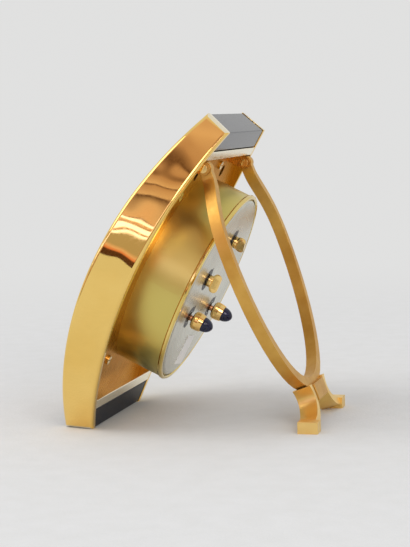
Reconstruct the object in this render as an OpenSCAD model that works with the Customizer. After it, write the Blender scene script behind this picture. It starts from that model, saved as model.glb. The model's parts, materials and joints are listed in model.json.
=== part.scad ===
// Travel alarm clock with a curved barrel-shaped gilt case and a fold-out wire-bow strut.
// Millimetres, +Z up, open and standing. The dial looks along -Y, the strut is at +Y.
// The case frame has X across, Y square to the case towards the rear, Z up along the case.

/* [Case] */
// Length of the case along its back, from bottom edge to top edge
case_height = 90; // [86:0.5:96]
// Width of the case half way up
case_mid_width = 79; // [78:0.5:88]
// Width of the case at its two ends
case_end_width = 49; // [48:0.5:54]
// Angle by which the standing case leans back
case_lean = 26.2; // [22:0.1:29]
// Depth of the case at its bottom face
bottom_depth = 9; // [8:0.1:10.5]
// Depth of the case at its top face
top_depth = 8; // [7.6:0.1:9.5]
// Angle of the top face, rising towards the front
top_cut = 16; // [8:0.5:22]
// How far the front bows forward between its ends
front_bow = 8.2; // [7.8:0.1:9.5]
// How far the back bows forward between its ends
rear_bow = 4.3; // [3.4:0.1:4.6]
// Thickness of the polished side bars
bar_thickness = 2.2; // [1.8:0.1:2.6]
// Height of each gilt cross rail, seen as a strip on the back
rail_height = 2.7; // [2.2:0.1:3.2]
// Height of each lacquer block on the back
lacquer_height = 6.2; // [5.4:0.1:7]
// Dark joint between a lacquer block and the metal round it
lacquer_joint = 0.2; // [0.1:0.05:0.35]
// Thickness of the curved front plate
front_plate_thickness = 1.8; // [1.4:0.1:2.2]
// Thickness of the flat back plate
back_plate_thickness = 1.5; // [1.2:0.1:1.8]
// Depth of the back plate's outer face below the case's back corners
back_plate_depth = 5; // [4.7:0.1:5.6]

/* [Dial and hands] */
// Radius of the dial opening in the bezel
dial_opening_radius = 23.6; // [21:0.2:24.4]
// Width of the bezel's ring round the dial opening
bezel_width = 2.9; // [2.6:0.1:3.6]
// Height by which the bezel stands before the front plate's highest line
bezel_rise = 1; // [0.6:0.1:1.6]
// Thickness of the crystal
crystal_thickness = 1.4; // [1:0.1:1.8]
// Thickness of the dial
dial_thickness = 0.6; // [0.4:0.1:0.7]
// Length of the minute hand from its centre
minute_hand_length = 19; // [15:0.5:20.5]
// Length of the hour hand from its centre
hour_hand_length = 12.5; // [10:0.5:15]
// Length of the alarm hand from its centre
alarm_hand_length = 9.5; // [7:0.5:11]
// Thickness of each hand
hand_thickness = 0.35; // [0.25:0.05:0.4]
// Number of applied hour markers
marker_count = 12; // [4:4:12]

/* [Movement can] */
// Outer radius of the round can on the back
can_radius = 28.5; // [28.3:0.1:28.8]
// Wall of the can
can_wall = 0.9; // [0.7:0.1:1]
// Depth of the can from the back plate to its rim
can_depth = 12.8; // [12.6:0.1:14]
// Height of the can's centre above the middle of the case
can_rise = 0.3; // [0.1:0.1:0.6]
// Depth of the rolled gilt rim
rim_depth = 1.3; // [1:0.1:1.6]
// Thickness of the back cover
cover_thickness = 1; // [0.8:0.1:1.2]
// Radius of the rounding on the back cover's edge
cover_rounding = 0.9; // [0.5:0.1:0.9]
// Width and height of the blank plate on the cover
blank_plate_size = [9, 9]; // [6:0.5:10]

/* [Knobs and keys] */
// Distance of each setting knob from the middle line
knob_spread = 12; // [11:0.5:13]
// Distance of the setting knobs below the can's centre
knob_drop = 7.5; // [6.5:0.5:8.5]
// Radius of the gilt cup of a setting knob
knob_cup_radius = 2.6; // [2.2:0.1:3]
// Length of the gilt cup of a setting knob
knob_cup_length = 3.2; // [2.6:0.1:3.8]
// Radius of the dark blue stone in a setting knob
stone_radius = 2.1; // [1.7:0.1:2.1]
// Length of the stone outside its cup
stone_length = 2.9; // [2.2:0.1:3.4]
// Bare shaft between the cover and a setting knob
knob_neck = 1.2; // [0.8:0.1:1.8]
// Place of the time winding key across and above the can's centre
time_key_place = [11, 4]; // [3.5:0.5:11.5]
// Distance of the alarm winding key above the can's centre
alarm_key_rise = 15; // [14.6:0.1:15.5]
// Width of the oval wing of a winding key
wing_width = 5.4; // [5:0.1:7]
// Height of the oval wing of a winding key
wing_height = 2.5; // [2.3:0.1:3.8]
// Thickness of a winding key's wing
wing_thickness = 1; // [0.8:0.1:1.2]
// Turn of the time key's wing about its arbor
time_wing_turn = 80; // [0:5:180]
// Turn of the alarm key's wing about its arbor
alarm_wing_turn = 45; // [0:5:180]

/* [Movement] */
// Thickness of the movement's main plate
main_plate_thickness = 1.6; // [1.2:0.1:1.8]
// Distance between the two movement plates
plate_spacing = 7.8; // [7.6:0.1:8.2]
// Thickness of the movement's rear plate
rear_plate_thickness = 1.4; // [1.1:0.1:1.6]
// Radius of the movement plates
plate_radius = 26.6; // [26.2:0.1:26.8]
// Radius of the time barrel
time_barrel_radius = 8.4; // [7.5:0.1:8.5]
// Radius of the alarm barrel
alarm_barrel_radius = 6.6; // [5.5:0.1:6.7]
// Thickness of each train wheel
wheel_thickness = 0.6; // [0.4:0.1:0.6]
// Radius of the balance
balance_radius = 5; // [4:0.1:5.1]
// Turns of the hairspring
hairspring_turns = 5; // [3:1:6]

/* [Strut] */
// Distance of the hinge line below the top rail
hinge_drop = 2.3; // [2.2:0.1:3]
// Depth of the hinge line below the case's back corners
hinge_depth = 1.5; // [1.2:0.1:1.6]
// Gap between each hinge bracket and the side bar, along the hinge line
hinge_side_gap = 1.25; // [1.1:0.05:1.8]
// Distance of each strut arm from the middle line where the bow is widest
bow_half_width = 36.5; // [35.8:0.1:37]
// Distance from the hinge to the widest place of the bow
bow_wide_drop = 24; // [23:0.5:27]
// Gap between the folded bow and the can's rim, below the can
bow_gap = 1.2; // [0.9:0.1:2]
// Angle of the open strut from upright
strut_lean = 20.2; // [18:0.1:22]
// Width of the strut wire, in the plane of the bow
wire_width = 3; // [2.6:0.1:3.1]
// Thickness of the strut wire, square to the plane of the bow
wire_thickness = 3.2; // [2.8:0.1:3.3]
// Radius of the eye at the top of each strut arm
eye_radius = 2; // [1.7:0.1:2.2]
// Straight part of each strut arm below its eye
arm_stub = 2.6; // [2.5:0.1:3.4]
// Radius of each hinge pin
pin_radius = 0.8; // [0.7:0.05:0.9]
// Running clearance of the strut on its pins
pin_clearance = 0.06; // [0.04:0.01:0.09]
// Thickness of each cheek of a hinge bracket
cheek_thickness = 0.9; // [0.8:0.05:1]
// Distance of each foot from the middle line
foot_half_span = 20.5; // [18:0.5:22]
// Depth of a leg, square to the plane of the bow
leg_depth = 5.2; // [4.6:0.1:5.4]
// Thickness of a leg, in the plane of the bow
leg_thickness = 2.2; // [1.8:0.1:2.4]
// Width of a foot pad
pad_width = 5; // [4.5:0.5:6]
// Thickness of a foot pad
pad_thickness = 3.2; // [2.6:0.1:3.6]
// Angle left between the folded strut and the case
folded_angle = 4; // [3.8:0.1:6]

/* [Hidden] */

half_mid = case_mid_width / 2;
half_end = case_end_width / 2;
side_sag = half_mid - half_end;
side_radius = (pow(case_height / 2, 2) + side_sag * side_sag) / (2 * side_sag);
side_centre = side_radius - half_mid;
rear_radius = (pow(case_height / 2, 2) + rear_bow * rear_bow) / (2 * rear_bow);
// Farther than any piece of the case reaches, for blocks that cut right through it.
cut_reach = 1.5 * case_height;
// Distance from the middle line to the side bars' inner faces at a height along the case.
function bar_inner(height) =
  sqrt(pow(side_radius - bar_thickness, 2) - pow(height - case_height / 2, 2)) - side_centre;

front_low = [-bottom_depth * cos(case_lean), -bottom_depth * sin(case_lean)];
front_high = [-top_depth * cos(top_cut), case_height + top_depth * sin(top_cut)];
front_middle = (front_low + front_high) / 2;
front_half_chord = norm(front_high - front_low) / 2;
front_slope = (front_high - front_low) / norm(front_high - front_low);
front_out = [-front_slope[1], front_slope[0]];
front_radius = (pow(front_half_chord, 2) + front_bow * front_bow) / (2 * front_bow);
front_centre = front_middle + front_out * (front_bow - front_radius);
front_apex = front_middle[0] + front_out[0] * front_bow;

rail_low = lacquer_height;
rail_low_inner = lacquer_height + rail_height;
rail_high_inner = case_height - rail_low_inner;
rail_high = case_height - lacquer_height;
plate_inset = 0.3;
front_plate_rear_radius = front_radius - plate_inset - front_plate_thickness;
// Depth of the front plate's rear face at a height along the case.
function front_plate_rear(height) =
  front_centre[0] - sqrt(pow(front_plate_rear_radius, 2) - pow(height - front_centre[1], 2));

plate_rear = -back_plate_depth;
plate_front = plate_rear - back_plate_thickness;

can_height = case_height / 2 + can_rise;
can_rear = plate_rear + can_depth;
cover_face = can_rear + rim_depth;
rim_overhang = 0.35;
rim_radius = can_radius + rim_overhang;
can_bore = can_radius - can_wall;
cover_radius = can_radius - can_wall;

main_rear = plate_rear - 0.4;
main_front = main_rear - main_plate_thickness;
rear_plate_front = main_rear + plate_spacing;
rear_plate_rear = rear_plate_front + rear_plate_thickness;

bezel_radius = dial_opening_radius + bezel_width;
bezel_front = front_apex - bezel_rise;
crystal_front = bezel_front + 1.2;
crystal_rear = crystal_front + crystal_thickness;
motion_level_gap = 0.3;
level_1 = main_front - motion_level_gap;
level_2 = level_1 - wheel_thickness - motion_level_gap;
level_3 = level_2 - wheel_thickness - motion_level_gap;
dial_rear = level_3 - wheel_thickness - motion_level_gap;
dial_front = dial_rear - dial_thickness;
hand_gap = 0.3;
alarm_hand_level = dial_front - hand_gap;
hour_hand_level = alarm_hand_level - hand_thickness - hand_gap;
minute_hand_level = hour_hand_level - hand_thickness - hand_gap;
pipe_clearance = 0.08;
arbor_radius = 0.6;
cannon_pipe_radius = 0.95;
hour_pipe_bore = cannon_pipe_radius + pipe_clearance;
hour_pipe_radius = hour_pipe_bore + 0.35;
alarm_pipe_bore = hour_pipe_radius + pipe_clearance;
alarm_pipe_radius = alarm_pipe_bore + 0.35;
dial_hole_radius = alarm_pipe_radius + 0.25;

alarm_key_place = [0, alarm_key_rise];
hand_knob_place = [knob_spread, -knob_drop];
alarm_knob_place = [-knob_spread, -knob_drop];
shaft_radius = 0.8;
shaft_clearance = 0.08;
knob_foot = cover_face + knob_neck;
winding_arbor_radius = 1;
wing_centre = cover_face + 1.3 + wing_height / 2;
label_thickness = 0.2;
label_place = [-3, -20];
label_turn = 8;

tooth = 0.5;
mesh_gap = 0.12;
alarm_wheel_teeth = 48;
alarm_pinion_teeth = 22;
minute_wheel_teeth = 32;
cannon_pinion_teeth = 8;
minute_pinion_teeth = 10;
hour_wheel_teeth = 30;
setting_pinion_teeth = 15;
centre_wheel_teeth = 52;
third_wheel_teeth = 43;
fourth_wheel_teeth = 32;
train_pinion_teeth = 8;
escape_pinion_teeth = 7;
escape_teeth = 15;
time_barrel_teeth = 48;
centre_pinion_teeth = 18;
alarm_barrel_teeth = 38;
star_pinion_teeth = 7;
star_teeth = 12;
centre_wheel_radius = 7.4;
centre_pinion_radius = norm(time_key_place) - time_barrel_radius - 2 * mesh_gap;
minute_wheel_place = [5.5, -3.5];
minute_spacing = norm(minute_wheel_place);
minute_wheel_radius = minute_spacing * 0.8 - mesh_gap;
cannon_pinion_radius = minute_spacing * 0.2 - mesh_gap;
minute_pinion_radius = minute_spacing * 0.25 - mesh_gap;
hour_wheel_radius = minute_spacing * 0.75 - mesh_gap;
setting_pinion_radius = norm(hand_knob_place - minute_wheel_place) - minute_wheel_radius - 2 * mesh_gap;
alarm_wheel_radius = 9.6;
alarm_pinion_radius = norm(alarm_knob_place) - alarm_wheel_radius - 2 * mesh_gap;
third_place = [-8.6, 1];
third_wheel_radius = 6.2;
third_pinion_radius = norm(third_place) - centre_wheel_radius - 2 * mesh_gap;
fourth_place = [-14.6, 5.5];
fourth_wheel_radius = 4.6;
fourth_pinion_radius = norm(fourth_place - third_place) - third_wheel_radius - 2 * mesh_gap;
escape_place = [-18.2, 1];
escape_wheel_radius = 2.8;
escape_pinion_radius = norm(escape_place - fourth_place) - fourth_wheel_radius - 2 * mesh_gap;
pallet_place = [-18.6, -4.3];
balance_place = [-15.6, -13.2];
star_place = [7.6, 17.3];
star_wheel_radius = 2.6;
star_pinion_radius = norm(star_place - alarm_key_place) - alarm_barrel_radius - 2 * mesh_gap;
hammer_place = [12.6, 19.4];
hammer_head_place = [17.6, 16.6];
time_ratchet_radius = 5;
alarm_ratchet_radius = 4.2;
time_click_place = [17.6, 6.4];
alarm_click_place = [-5.8, 17.5];
pillar_places = [[20.5, 11.5], [-16.5, 16.5], [17, -16.2], [-2, -23]];
barrel_front = main_rear + 0.8;
barrel_rear = barrel_front + 4.6;
centre_level = barrel_rear + 0.5;
train_gap = 1.1;
third_level = centre_level - wheel_thickness - train_gap;
fourth_level = third_level - wheel_thickness - train_gap;
escape_level = fourth_level - wheel_thickness - train_gap;
balance_level = escape_level + 1.6;

cheek_gap = 0.12;
cheek_inner = wire_width / 2 + cheek_gap;
cheek_outer = cheek_inner + cheek_thickness;
cheek_round = 1.8;
hinge_height = rail_high_inner - hinge_drop;
hinge_half_span = bar_inner(hinge_height) - hinge_side_gap - cheek_outer;
can_drop = hinge_height - can_height;
bow_drop = can_drop + rim_radius + wire_width / 2 + bow_gap;
hinge_y = -hinge_depth * cos(case_lean) + hinge_height * sin(case_lean);
hinge_z = hinge_depth * sin(case_lean) + hinge_height * cos(case_lean);
strut_length = hinge_z / cos(strut_lean);
foot_y = hinge_y + strut_length * sin(strut_lean);
pad_depth = leg_depth / cos(strut_lean);
fold_travel = case_lean + strut_lean - folded_angle;
shift_y = -(foot_y + pad_depth / 2 - bottom_depth) / 2;

gilt = "goldenrod";
satin_gilt = "darkgoldenrod";
brass = "khaki";
dark_blue = "midnightblue";
steel = "silver";

// Places a piece drawn in the case frame.
module case_frame() {
  translate([0, shift_y, 0]) rotate([-case_lean, 0, 0]) children();
}

// Places a piece drawn round the can's axis, with Z running to the rear and Y up the case.
module can_frame(place = [0, 0]) {
  case_frame()
    translate([place[0], 0, can_height + place[1]])
      rotate([-90, 0, 0])
        mirror([0, 1, 0]) children();
}

// Places a piece drawn with the strut hanging straight down from the hinge line.
module strut_frame() {
  translate([0, shift_y + hinge_y, hinge_z]) rotate([strut_lean, 0, 0]) children();
}

// A cylinder along the case's depth axis.
module post(radius, from, to, sides = 48) {
  translate([0, 0, from]) cylinder(r = radius, h = to - from, $fn = sides);
}

// A cylinder across the case.
module cross_pin(radius, from, to, sides = 48) {
  translate([from, 0, 0]) rotate([0, 90, 0]) cylinder(r = radius, h = to - from, $fn = sides);
}

// The side outline of the case, drawn in by a margin, as a tall solid.
module plan_solid(margin) {
  intersection_for(side = [-1, 1])
    translate([-side * side_centre, cut_reach / 2, case_height / 2])
      rotate([90, 0, 0]) cylinder(r = side_radius - margin, h = cut_reach, $fn = 360);
}

// The side profile of the case between its two end faces and its two arcs.
module profile_solid(front_margin = 0, rear_margin = 0, end_margin = 0) {
  reach = cut_reach / 3;
  past = reach / 10;
  end_low = end_margin;
  end_high = case_height - end_margin;
  difference() {
    intersection() {
      translate([-case_mid_width, 0, 0])
        rotate([90, 0, 90])
          linear_extrude(2 * case_mid_width)
            polygon([
              [past * cos(case_lean), end_low + past * sin(case_lean)],
              [-reach * cos(case_lean), end_low - reach * sin(case_lean)],
              [-reach * cos(top_cut), end_high + reach * sin(top_cut)],
              [past * cos(top_cut), end_high - past * sin(top_cut)]
            ]);
      translate([-case_mid_width, front_centre[0], front_centre[1]])
        rotate([0, 90, 0]) cylinder(r = front_radius - front_margin, h = 2 * case_mid_width, $fn = 720);
    }
    translate([-case_mid_width - 1, rear_radius - rear_bow, case_height / 2])
      rotate([0, 90, 0]) cylinder(r = rear_radius + rear_margin, h = 2 * case_mid_width + 2, $fn = 720);
  }
}

// A slab of the case between two heights.
module height_slab(low, high) {
  translate([-case_mid_width, -cut_reach / 2, low]) cube([2 * case_mid_width, cut_reach, high - low]);
}

module side_bar(side) {
  color(gilt)
    case_frame()
      difference() {
        intersection() {
          profile_solid();
          translate([-side * side_centre, cut_reach / 2, case_height / 2])
            rotate([90, 0, 0]) cylinder(r = side_radius, h = cut_reach, $fn = 360);
          translate([side > 0 ? 0 : -case_mid_width, -cut_reach / 2, -cut_reach / 2])
            cube([case_mid_width, cut_reach, 2 * cut_reach]);
        }
        translate([-side * side_centre, cut_reach, case_height / 2])
          rotate([90, 0, 0]) cylinder(r = side_radius - bar_thickness, h = 2 * cut_reach, $fn = 360);
      }
}

module rail(low, high) {
  color(gilt)
    case_frame()
      intersection() {
        profile_solid();
        plan_solid(bar_thickness);
        height_slab(low, high);
      }
}

module lacquer_block(low, high) {
  color(dark_blue)
    case_frame()
      intersection() {
        profile_solid(lacquer_joint, lacquer_joint, lacquer_joint);
        plan_solid(bar_thickness + lacquer_joint);
        height_slab(low, high);
      }
}

module front_plate() {
  color(satin_gilt)
    case_frame()
      difference() {
        intersection() {
          profile_solid(plate_inset);
          plan_solid(bar_thickness);
          height_slab(rail_low_inner, rail_high_inner);
        }
        translate([-case_mid_width - 1, front_centre[0], front_centre[1]])
          rotate([0, 90, 0])
            cylinder(r = front_plate_rear_radius, h = 2 * case_mid_width + 2, $fn = 720);
        translate([0, 0, can_height])
          rotate([90, 0, 0])
            cylinder(r = bezel_radius + 0.05, h = cut_reach, $fn = 180);
      }
}

module back_plate() {
  hole_radius = 1.8;
  hole_place = (rim_radius + 4.25) * [cos(63), sin(63)];
  color(satin_gilt)
    case_frame()
      difference() {
        intersection() {
          translate([-case_mid_width, plate_front, rail_low_inner])
            cube([2 * case_mid_width, back_plate_thickness, rail_high_inner - rail_low_inner]);
          plan_solid(bar_thickness);
        }
        translate([0, plate_rear + 1, can_height])
          rotate([90, 0, 0]) cylinder(r = plate_radius + 0.1, h = back_plate_thickness + 2, $fn = 180);
        for (side = [-1, 1])
          translate([side * hole_place[0], plate_rear + 1, can_height + hole_place[1]])
            rotate([90, 0, 0]) cylinder(r = hole_radius, h = back_plate_thickness + 2, $fn = 48);
      }
}

screw_head_radius = 1.3;
side_screw = [24, can_drop - cheek_round - 8.2];
low_screw = (rim_radius + 5) * [cos(51.6), -sin(51.6)];
// Half way between the can's rim and the top rail.
top_screw = [8.5, (sqrt(pow(rim_radius, 2) - pow(8.5, 2)) + rail_high_inner - can_height) / 2];
screw_places = [
  for (side = [-1, 1])
    for (place = [side_screw, low_screw, top_screw]) [side * place[0], place[1]]
];
screw_head_height = 0.6;

module back_plate_screws() {
  color(brass)
    for (place = screw_places)
      can_frame(place)
        difference() {
          post(screw_head_radius, plate_rear, plate_rear + screw_head_height);
          translate([-screw_head_radius, -0.15, plate_rear + screw_head_height - 0.25])
            cube([2 * screw_head_radius, 0.3, 1]);
        }
}

module bezel() {
  crystal_bore = dial_opening_radius + 1;
  flange_radius = bezel_radius + 1.4;
  flange_gap = 0.3;
  flange_front = flange_gap
    + max(front_plate_rear(can_height - flange_radius), front_plate_rear(can_height + flange_radius));
  color(gilt)
    can_frame()
      rotate_extrude($fn = 180)
        polygon([
          [dial_opening_radius, crystal_front], [dial_opening_radius, bezel_front + 0.7],
          [dial_opening_radius + 0.35 * bezel_width, bezel_front], [bezel_radius - 0.5, bezel_front],
          [bezel_radius, bezel_front + 0.6], [bezel_radius, flange_front],
          [flange_radius, flange_front], [flange_radius, flange_front + 0.7],
          [crystal_bore, flange_front + 0.7], [crystal_bore, crystal_front]
        ]);
}

module crystal() {
  color("lightcyan", 0.4)
    can_frame() post(dial_opening_radius + 0.9, crystal_front, crystal_rear, 180);
}

module dial_ring() {
  outer = dial_opening_radius + 0.85;
  inner_front = dial_opening_radius - 0.2;
  inner_rear = dial_opening_radius - 1.6;
  color("ivory")
    can_frame()
      rotate_extrude($fn = 180)
        polygon([
          [inner_front, crystal_rear], [outer, crystal_rear],
          [outer, dial_front], [inner_rear, dial_front]
        ]);
}

module dial() {
  color("ivory")
    can_frame() {
      difference() {
        post(dial_opening_radius + 0.9, dial_front, dial_rear, 180);
        post(dial_hole_radius, dial_front - 1, dial_rear + 1);
      }
      for (side = [-1, 1])
        translate([side * 11.5, 14.5, 0]) post(0.5, dial_rear - 0.01, main_front, 24);
    }
}

module hour_markers() {
  marker_length = 3.4;
  marker_width = 0.9;
  marker_height = 0.3;
  color(gilt)
    can_frame()
      for (hour = [0 : marker_count - 1])
        rotate([0, 0, hour * 360 / marker_count])
          translate([-marker_width / 2, dial_opening_radius - 5.6, dial_front - marker_height])
            cube([marker_width, marker_length, marker_height]);
}

// A hand seen from the front: a boss, a tapering blade and a short tail.
module hand_blade(length, width, tail, boss, level) {
  translate([0, 0, level - hand_thickness])
    linear_extrude(hand_thickness) {
      circle(r = boss, $fn = 48);
      polygon([
        [-0.35 * width, -tail], [0.35 * width, -tail], [0.3 * width, 0],
        [0.5 * width, length * 0.62], [0, length], [-0.5 * width, length * 0.62], [-0.3 * width, 0]
      ]);
    }
}

// The hands show ten past ten, with the alarm at six.
hour_hand_turn = -305;
minute_hand_turn = -60;
alarm_hand_turn = 180;
alarm_hand_width = 1;
alarm_hand_tail = 2.4;
alarm_boss_radius = 2.9;
hour_hand_width = 2;
hour_hand_tail = 3.4;
hour_boss_radius = 2.4;
minute_hand_width = 1.6;
minute_hand_tail = 4.2;
minute_boss_radius = 1.9;

module hand(turn, length, width, tail, boss, bore, level, paint) {
  color(paint)
    can_frame()
      rotate([0, 0, turn])
        difference() {
          hand_blade(length, width, tail, boss, level);
          post(bore, level - 2, level + 2);
        }
}

module movement_can() {
  color("darkkhaki")
    can_frame()
      difference() {
        post(can_radius, plate_rear, can_rear, 180);
        post(can_bore, plate_rear - 1, can_rear + 1, 180);
      }
}

module can_rim() {
  color(gilt)
    can_frame()
      rotate_extrude($fn = 180)
        polygon([
          [cover_radius + 0.15, can_rear], [can_radius + 0.2, can_rear],
          [rim_radius, can_rear + 0.3], [rim_radius, cover_face - 0.5],
          [can_radius, cover_face - 0.1], [cover_radius + 0.3, cover_face - 0.1],
          [cover_radius + 0.15, cover_face - 0.3]
        ]);
}

module back_cover() {
  hub = 0.9;
  arc_steps = 6;
  color(steel)
    can_frame()
      difference() {
        rotate_extrude($fn = 180)
          polygon(concat(
            [[0, cover_face - cover_thickness], [cover_radius, cover_face - cover_thickness]],
            [for (step = [0 : arc_steps])
              let (a = step * 90 / arc_steps)
                [
                  cover_radius - cover_rounding * (1 - cos(a)),
                  cover_face - cover_rounding * (1 - sin(a))
                ]],
            [[0, cover_face]]
          ));
        for (place = [hand_knob_place, alarm_knob_place])
          translate([place[0], place[1], 0])
            post(shaft_radius + hub, cover_face - 3, cover_face + 1);
        for (place = [time_key_place, alarm_key_place])
          translate([place[0], place[1], 0])
            post(winding_arbor_radius + hub, cover_face - 3, cover_face + 1);
      }
}

module blank_plate() {
  color("white")
    can_frame(label_place)
      rotate([0, 0, label_turn])
        translate([-blank_plate_size[0] / 2, -blank_plate_size[1] / 2, cover_face])
          cube([blank_plate_size[0], blank_plate_size[1], label_thickness]);
}

module setting_shaft(place, pinion_radius, level, teeth) {
  color(steel)
    can_frame(place) {
      post(shaft_radius, level - wheel_thickness, knob_foot + 1.5);
      post(1.2, main_rear + 0.3, rear_plate_front - 0.3);
      translate([0, 0, level - wheel_thickness]) toothed_disc(pinion_radius, teeth, wheel_thickness);
    }
}

module setting_knob(place) {
  color(gilt)
    can_frame(place)
      difference() {
        rotate_extrude($fn = 72)
          polygon([
            [0, knob_foot], [knob_cup_radius - 0.7, knob_foot],
            [knob_cup_radius - 0.2, knob_foot + 0.35], [knob_cup_radius, knob_foot + 0.9],
            [knob_cup_radius, knob_foot + knob_cup_length * 0.6],
            [stone_radius + 0.25, knob_foot + knob_cup_length],
            [0, knob_foot + knob_cup_length]
          ]);
        post(shaft_radius, knob_foot - 1, knob_foot + 1.5);
        post(stone_radius, knob_foot + knob_cup_length - 0.8, knob_foot + knob_cup_length + 1, 72);
      }
}

module setting_stone(place) {
  foot = knob_foot + knob_cup_length - 0.8;
  shoulder = knob_foot + knob_cup_length;
  arc_steps = 10;
  point_power = 1.1;
  color(dark_blue)
    can_frame(place)
      rotate_extrude($fn = 72)
        polygon(concat(
          [[0, foot], [stone_radius, foot]],
          [for (step = [0 : arc_steps])
            let (a = step * 90 / arc_steps)
              [stone_radius * pow(cos(a), point_power), shoulder + stone_length * sin(a)]]
        ));
}

module winding_arbor(place) {
  color(steel)
    can_frame(place) {
      post(winding_arbor_radius, main_rear + 0.3, cover_face + 1);
      post(0.6, main_rear - 1, main_rear + 0.4);
    }
}

module winding_key(place, turn) {
  boss_radius = 1.7;
  boss_height = 1.6;
  wing_half = (wing_width - wing_height) / 2;
  color(gilt)
    can_frame(place)
      rotate([0, 0, turn])
        difference() {
          union() {
            post(boss_radius, cover_face + 0.3, cover_face + boss_height);
            translate([0, 0, wing_centre])
              rotate([90, 0, 0])
                translate([0, 0, -wing_thickness / 2])
                  linear_extrude(wing_thickness) {
                    square([2 * wing_half, wing_height], center = true);
                    for (end = [-1, 1])
                      translate([end * wing_half, 0]) circle(r = wing_height / 2, $fn = 48);
                  }
          }
          post(winding_arbor_radius, cover_face - 1, cover_face + 1);
        }
}

// A flat wheel with plain trapezium teeth.
module toothed_disc(radius, teeth, thickness) {
  step = 360 / teeth;
  root = radius - tooth;
  linear_extrude(thickness)
    polygon([
      for (i = [0 : teeth - 1])
        for (corner = [[root, 0], [root, 0.3], [radius, 0.45], [radius, 0.8]])
          corner[0] * [cos((i + corner[1]) * step), sin((i + corner[1]) * step)]
    ]);
}

// A crossed-out wheel with its bore.
module train_wheel(radius, teeth, level, bore, arms = 4) {
  window = (radius - tooth - bore) * 0.27;
  window_place = (radius - tooth + bore) * 0.5;
  translate([0, 0, level])
    difference() {
      toothed_disc(radius, teeth, wheel_thickness);
      translate([0, 0, -1]) cylinder(r = bore, h = wheel_thickness + 2, $fn = 36);
      for (arm = [0 : arms - 1])
        rotate([0, 0, (arm + 0.5) * 360 / arms])
          translate([window_place, 0, -1]) cylinder(r = window, h = wheel_thickness + 2, $fn = 24);
    }
}

// A wheel, its arbor and its pinion as one solid.
module geared_arbor(radius, teeth, level, pinion_radius, pinion_teeth, pinion_level) {
  train_wheel(radius, teeth, level, 0);
  post(arbor_radius, main_rear + 0.2, rear_plate_front - 0.2, 36);
  post(0.3, main_rear - 0.8, main_rear + 0.3, 24);
  post(0.3, rear_plate_front - 0.3, rear_plate_front + 0.8, 24);
  translate([0, 0, pinion_level]) toothed_disc(pinion_radius, pinion_teeth, wheel_thickness + 0.4);
}

module ratchet_wheel(place, radius, teeth) {
  level = rear_plate_rear + 0.3;
  color(steel)
    can_frame(place)
      translate([0, 0, level])
        difference() {
          linear_extrude(0.8)
            polygon([
              for (i = [0 : teeth - 1])
                for (corner = [[radius - 0.6, 0.02], [radius, 0.94]])
                  corner[0] * [cos((i + corner[1]) * 360 / teeth), sin((i + corner[1]) * 360 / teeth)]
            ]);
          translate([0, 0, -1]) cylinder(r = winding_arbor_radius, h = 3, $fn = 36);
        }
}

module click(place, turn) {
  level = rear_plate_rear + 0.3;
  color(steel)
    can_frame(place)
      rotate([0, 0, turn]) {
        translate([0, 0, level])
          linear_extrude(0.8) {
            circle(r = 0.9, $fn = 36);
            polygon([[-0.5, 0.5], [0.5, 0.5], [0.35, 1.7], [-0.1, 1.9]]);
          }
        post(0.4, rear_plate_rear - 0.8, level + 0.1, 24);
      }
}

module main_plate() {
  color(brass)
    can_frame()
      difference() {
        post(plate_radius, main_front, main_rear, 180);
        post(arbor_radius + shaft_clearance, main_front - 1, main_rear + 1);
        for (place = [hand_knob_place, alarm_knob_place])
          translate([place[0], place[1], 0])
            post(shaft_radius + shaft_clearance, main_front - 1, main_rear + 1);
        for (place = [time_key_place, alarm_key_place])
          translate([place[0], place[1], 0]) post(0.6 + shaft_clearance, main_rear - 1.2, main_rear + 1);
        for (place = [third_place, fourth_place, escape_place, pallet_place, balance_place, star_place,
                      hammer_place])
          translate([place[0], place[1], 0]) post(0.3 + shaft_clearance, main_rear - 1, main_rear + 1, 24);
        translate([minute_wheel_place[0], minute_wheel_place[1], 0])
          post(0.5, main_front - 1, main_front + 1, 24);
      }
}

module plate_pillars() {
  color(brass)
    for (place = pillar_places)
      can_frame(place) post(1.6, main_rear, rear_plate_front);
}

module rear_plate() {
  color(brass)
    can_frame()
      difference() {
        post(plate_radius, rear_plate_front, rear_plate_rear, 180);
        for (place = [hand_knob_place, alarm_knob_place])
          translate([place[0], place[1], 0])
            post(shaft_radius + shaft_clearance, rear_plate_front - 1, rear_plate_rear + 1);
        for (place = [time_key_place, alarm_key_place])
          translate([place[0], place[1], 0])
            post(winding_arbor_radius + shaft_clearance, rear_plate_front - 1, rear_plate_rear + 1);
        for (place = [[0, 0], third_place, fourth_place, escape_place, pallet_place, balance_place,
                      star_place, hammer_place])
          translate([place[0], place[1], 0])
            post(0.3 + shaft_clearance, rear_plate_front - 1, rear_plate_front + 1, 24);
        for (place = [time_click_place, alarm_click_place])
          translate([place[0], place[1], 0])
            post(0.4 + shaft_clearance, rear_plate_rear - 1, rear_plate_rear + 1, 24);
      }
}

module barrel(place, radius, teeth) {
  color(brass)
    can_frame(place)
      difference() {
        union() {
          post(radius - tooth - 0.2, barrel_front, barrel_rear, 90);
          translate([0, 0, barrel_rear - wheel_thickness]) toothed_disc(radius, teeth, wheel_thickness);
        }
        post(winding_arbor_radius + shaft_clearance, barrel_front - 1, barrel_rear + 1);
      }
}

module centre_arbor() {
  color(steel)
    can_frame() {
      translate([0, 0, barrel_rear - wheel_thickness + 0.15])
        toothed_disc(centre_pinion_radius, centre_pinion_teeth, wheel_thickness);
      post(arbor_radius, level_1 - 0.1, rear_plate_front - 0.2, 36);
      post(0.3, rear_plate_front - 0.3, rear_plate_front + 0.8, 24);
      translate([0, 0, level_1 - wheel_thickness])
        toothed_disc(cannon_pinion_radius, cannon_pinion_teeth, wheel_thickness);
      post(cannon_pipe_radius, minute_hand_level - hand_thickness - 0.2, level_1 - wheel_thickness + 0.1);
    }
}

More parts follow.
